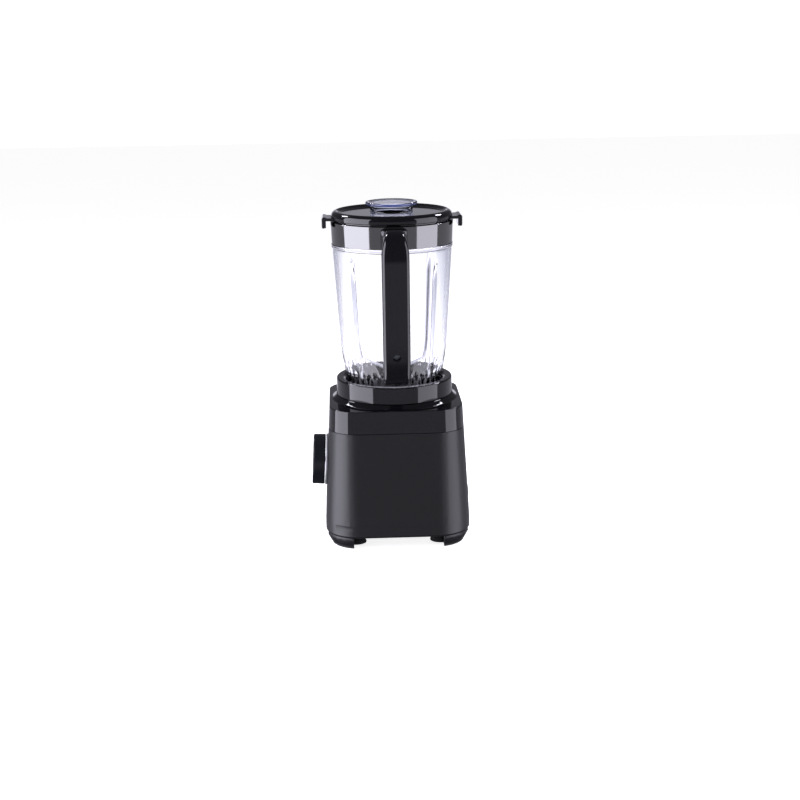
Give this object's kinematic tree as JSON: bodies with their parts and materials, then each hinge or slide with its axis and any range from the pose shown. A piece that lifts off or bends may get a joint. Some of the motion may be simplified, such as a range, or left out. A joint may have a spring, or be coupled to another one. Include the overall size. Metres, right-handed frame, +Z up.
{
  "type": "countertop blender",
  "caption": "Countertop blender: a motor base with a rotary knob carries a clear lidded jar with a handle, a measuring cap and driven blades.",
  "frame": {"origin": "on the motor and jar axis, in the plane that the feet stand on", "axes": "+Z up along the motor axis, the knob faces -Y, the handle points along +X"},
  "size_m": [0.1974, 0.1895, 0.3986],
  "materials": {
    "satin_black": "satin moulded plastic",
    "gloss_black": "polished black plastic",
    "smoked_chrome": "dark chrome-effect plating on plastic",
    "knob_black": "satin black plastic",
    "inner_black": "moulded plastic",
    "black_rubber": "soft rubber",
    "silver_ring": "silver coated trim",
    "zinc_steel": "zinc-plated steel",
    "clear_jar": "clear copolyester",
    "clear_cap": "clear copolyester, faintly smoked",
    "blade_steel": "ground stainless steel",
    "lamination": "varnished laminated steel",
    "bearing_steel": "ground bearing steel",
    "cast_alloy": "die-cast alloy",
    "copper_wire": "enamelled copper",
    "brass_part": "pressed brass",
    "carbon": "pressed carbon",
    "nylon_drive": "glass-filled nylon",
    "board_green": "printed circuit board",
    "capacitor_case": "moulded case"
  },
  "bodies": {
    "base": {"base_housing": "satin_black", "top_cover": "gloss_black", "bottom_tray": "satin_black", "corner_legs": "satin_black", "leg_pads": "black_rubber", "suction_feet": "black_rubber", "tray_screws": "zinc_steel", "knob_ring": "silver_ring", "speed_switch": "inner_black", "switch_nut": "zinc_steel", "cord_gland": "inner_black", "control_board": "board_green", "board_screws": "zinc_steel", "filter_capacitor": "capacitor_case", "power_triac": "cast_alloy", "terminal_block": "inner_black", "stator_core": "lamination", "field_coil_front": "copper_wire", "field_coil_back": "copper_wire", "upper_bracket": "cast_alloy", "lower_bracket": "cast_alloy", "upper_bearing": "bearing_steel", "lower_bearing": "bearing_steel", "carbon_brush_left": "carbon", "carbon_brush_right": "carbon", "brush_holder_left": "brass_part", "brush_holder_right": "brass_part", "motor_bolts": "zinc_steel", "vibration_mounts": "black_rubber", "shaft_splash_seal": "black_rubber", "interlock_bracket": "inner_black", "bracket_screws": "zinc_steel", "interlock_switch": "inner_black", "interlock_spring": "zinc_steel"},
    "knob": {"knob": "knob_black", "switch_stem": "zinc_steel"},
    "rotor": {"motor_shaft": "blade_steel", "armature_core": "lamination", "armature_windings": "copper_wire", "commutator": "copper_wire", "cooling_fan": "inner_black", "drive_coupling": "nylon_drive"},
    "interlock_pin": {"interlock_pin": "zinc_steel"},
    "jar": {"jar_body": "clear_jar", "jar_collar": "gloss_black", "jar_gasket": "black_rubber", "blade_carrier": "gloss_black", "shaft_bush": "brass_part", "shaft_seal": "black_rubber", "rim_band": "smoked_chrome", "handle": "gloss_black", "handle_screws": "zinc_steel"},
    "blades": {"blade_shaft": "blade_steel", "drive_dog": "nylon_drive", "lower_blades": "blade_steel", "upper_blades": "blade_steel", "blade_nut": "blade_steel"},
    "lid": {"lid": "gloss_black", "lid_gasket": "black_rubber"},
    "cap": {"measuring_cap": "clear_cap"}
  },
  "joints": [
    {"name": "knob_turn", "type": "hinge", "parent": "base", "child": "knob", "pos_m": [0, -0.08227, 0.0888], "axis": [0, -0.9985, 0.0544], "range_deg": [-135, 45]},
    {"name": "motor_spin", "type": "hinge", "parent": "base", "child": "rotor", "pos_m": [0, 0, 0.1], "axis": [0, 0, 1], "continuous": true},
    {"name": "jar_lift", "type": "slide", "parent": "base", "child": "jar", "axis": [0, 0, 1], "range_m": [0, 0.06]},
    {"name": "interlock_slide", "type": "slide", "parent": "base", "child": "interlock_pin", "axis": [0, 0, 1], "range_m": [0, 0.004], "deforming": ["interlock_spring"]},
    {"name": "blade_spin", "type": "hinge", "parent": "jar", "child": "blades", "pos_m": [0, 0, 0.19], "axis": [0, 0, 1], "continuous": true},
    {"name": "lid_lift", "type": "slide", "parent": "jar", "child": "lid", "axis": [0, 0, 1], "range_m": [0, 0.05]},
    {"name": "cap_lift", "type": "slide", "parent": "lid", "child": "cap", "axis": [0, 0, 1], "range_m": [0, 0.04]}
  ],
  "couplings": [
    {"joint": "blade_spin", "follows": "motor_spin", "ratio": 1},
    {"joint": "interlock_slide", "follows": "jar_lift", "ratio": 0.066667}
  ]
}
